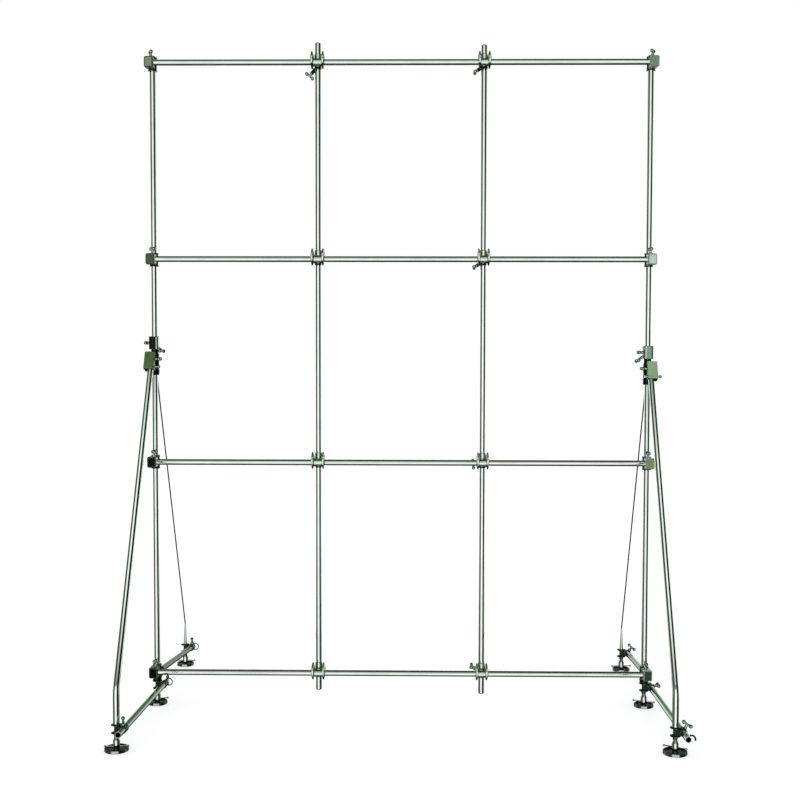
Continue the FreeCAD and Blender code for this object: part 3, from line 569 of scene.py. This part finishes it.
# Base tubes run from foot to foot near the floor. Their plate is greener and duller than the rails',
# and each tube's tint also carries painted light: painted shade on the rear tubes and a lighter tint on
# the right front one. The wire bails at their ends and the welded eye and gusset at the back are
# blackened. Bails are told by their solid's length, and eye and gusset by faces that don't run along
# the tube.
bail_reach = 0.06
long_face = 0.12
place_digits = 5
base_painted_light = {
    "left": {"front": (0.34, 0.44, 0.32), "rear": (0.050, 0.090, 0.047)},
    "right": {"front": (0.55, 0.72, 0.62), "rear": (0.078, 0.165, 0.088)},
}
base_black = plated("base_black", (0.03, 0.045, 0.035), 0.18, along_y)


def face_lengths(part):
    """For each face of a frame piece, the length along Y of its solid and its own length."""
    owner = {}

    def root(key):
        while owner[key] != key:
            key = owner[key]
        return key

    places = [part.matrix_world @ vertex.co for vertex in part.data.vertices]
    faces = []
    for face in part.data.polygons:
        keys = [tuple(round(c, place_digits) for c in places[i]) for i in face.vertices]
        for key in keys:
            owner.setdefault(key, key)
            owner[root(key)] = root(keys[0])
        faces.append((keys[0], max(key[1] for key in keys) - min(key[1] for key in keys)))
    spans = {}
    for key in owner:
        span = spans.setdefault(root(key), [key[1], key[1]])
        span[0] = min(span[0], key[1])
        span[1] = max(span[1], key[1])
    return [(spans[root(key)][1] - spans[root(key)][0], own) for key, own in faces]


for side in sides:
    for end, tone in base_painted_light[side].items():
        part = nodes[side + "_" + end + "_base_tube"]
        part.data.materials.clear()
        part.data.materials.append(plated(side + "_" + end + "_base_plate_painted_light", tone, 0.09, along_y))
        part.data.materials.append(base_black)
        for face, (solid, own) in zip(part.data.polygons, face_lengths(part)):
            face.material_index = int(solid < bail_reach or (end == "rear" and own < long_face))
    for place in ("front", "mid", "rear"):
        shared_out(nodes[side + "_" + place + "_foot_clamp"], [clamp_dark], lambda at, normal: 0)

# Rear stays are thin plated rods, screwed into a swivel ring under the bracket and set in a turned
# and tapered rod above the rear foot.
stay_low = 0.215
ring_drop = 0.035
stay_rod = plated("stay_rod", (0.20, 0.18, 0.20), 0.25, across_z)
for side in sides:
    low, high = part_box(side + "_rear_stay")

    def pick(at, normal):
        if at.z > high.z - ring_drop:
            return 1
        if at.z > stay_low:
            return 0
        return 2 if at.z < spool_top else 3

    shared_out(nodes[side + "_rear_stay"], [stay_rod, clamp_dark, blackened, upright_tube], pick)

# Levelling feet are turned from steel: a dished disc that is black with old grease, a bright rim and
# column, a threaded spindle that screws into the end spool, and a tommy bar with ball ends.
dish_top = 0.0128
column_radius = 0.0138
upward_limit = 0.3
foot_bright = plated("foot_bright", (0.86, 0.86, 0.84), 0.10, across_z)
foot_dish = casting("foot_dish", (0.006, 0.011, 0.007), (0.4, 0.45, 0.4), 0.26)
foot_rim = plated("foot_rim", (0.44, 0.50, 0.44), 0.05, across_z)
for side in sides:
    for place in ("front", "mid", "rear"):
        name = side + "_" + place + "_foot"
        centre = middle(name)

        def pick(at, normal):
            away = math.hypot(at.x - centre.x, at.y - centre.y)
            if at.z > dish_top or away < column_radius:
                return 0
            return 1 if normal.z > upward_limit else 2

        shared_out(nodes[name], [foot_bright, foot_dish, foot_rim], pick)

# Each foot turns on a rolled thread of its spindle, which shows between foot and spool when the foot
# is let down. The thread is a ridge wound round the plain spindle, and it moves with its foot.
spindle_radius = 0.006
thread_low = 0.057
thread_high = 0.111
thread_pitch = 0.003
thread_rise = 0.0003
thread_sink = 0.0002
flank_share = 0.4
turn_steps = 24
thread_steel = plated("thread_steel", (0.42, 0.46, 0.42), 0.22, across_z)
for side in sides:
    for place in ("front", "mid", "rear"):
        name = side + "_" + place + "_foot"
        centre = middle(name)
        shape = bmesh.new()
        steps = int((thread_high - thread_low) / thread_pitch * turn_steps)
        previous = None
        for step in range(steps + 1):
            angle = 2 * math.pi * step / turn_steps
            height = thread_low + thread_pitch * step / turn_steps
            fade = min(1.0, step / turn_steps, (steps - step) / turn_steps)
            flank = [
                (spindle_radius - thread_sink, height - thread_pitch * flank_share),
                (spindle_radius + thread_rise * fade, height),
                (spindle_radius - thread_sink, height + thread_pitch * flank_share),
            ]
            way_out = Vector((math.cos(angle), math.sin(angle), 0))
            section = [shape.verts.new(Vector((centre.x, centre.y, z)) + way_out * r) for r, z in flank]
            if previous:
                for corner in range(3):
                    after = (corner + 1) % 3
                    shape.faces.new((previous[corner], previous[after], section[after], section[corner]))
            else:
                shape.faces.new(section)
            previous = section
        shape.faces.new(reversed(previous))
        bmesh.ops.recalc_face_normals(shape, faces=shape.faces)
        mesh = bpy.data.meshes.new(name + "_thread")
        shape.to_mesh(mesh)
        shape.free()
        thread = bpy.data.objects.new(name + "_thread", mesh)
        bpy.context.scene.collection.objects.link(thread)
        mesh.materials.append(thread_steel)
        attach(thread, name)

low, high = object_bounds()
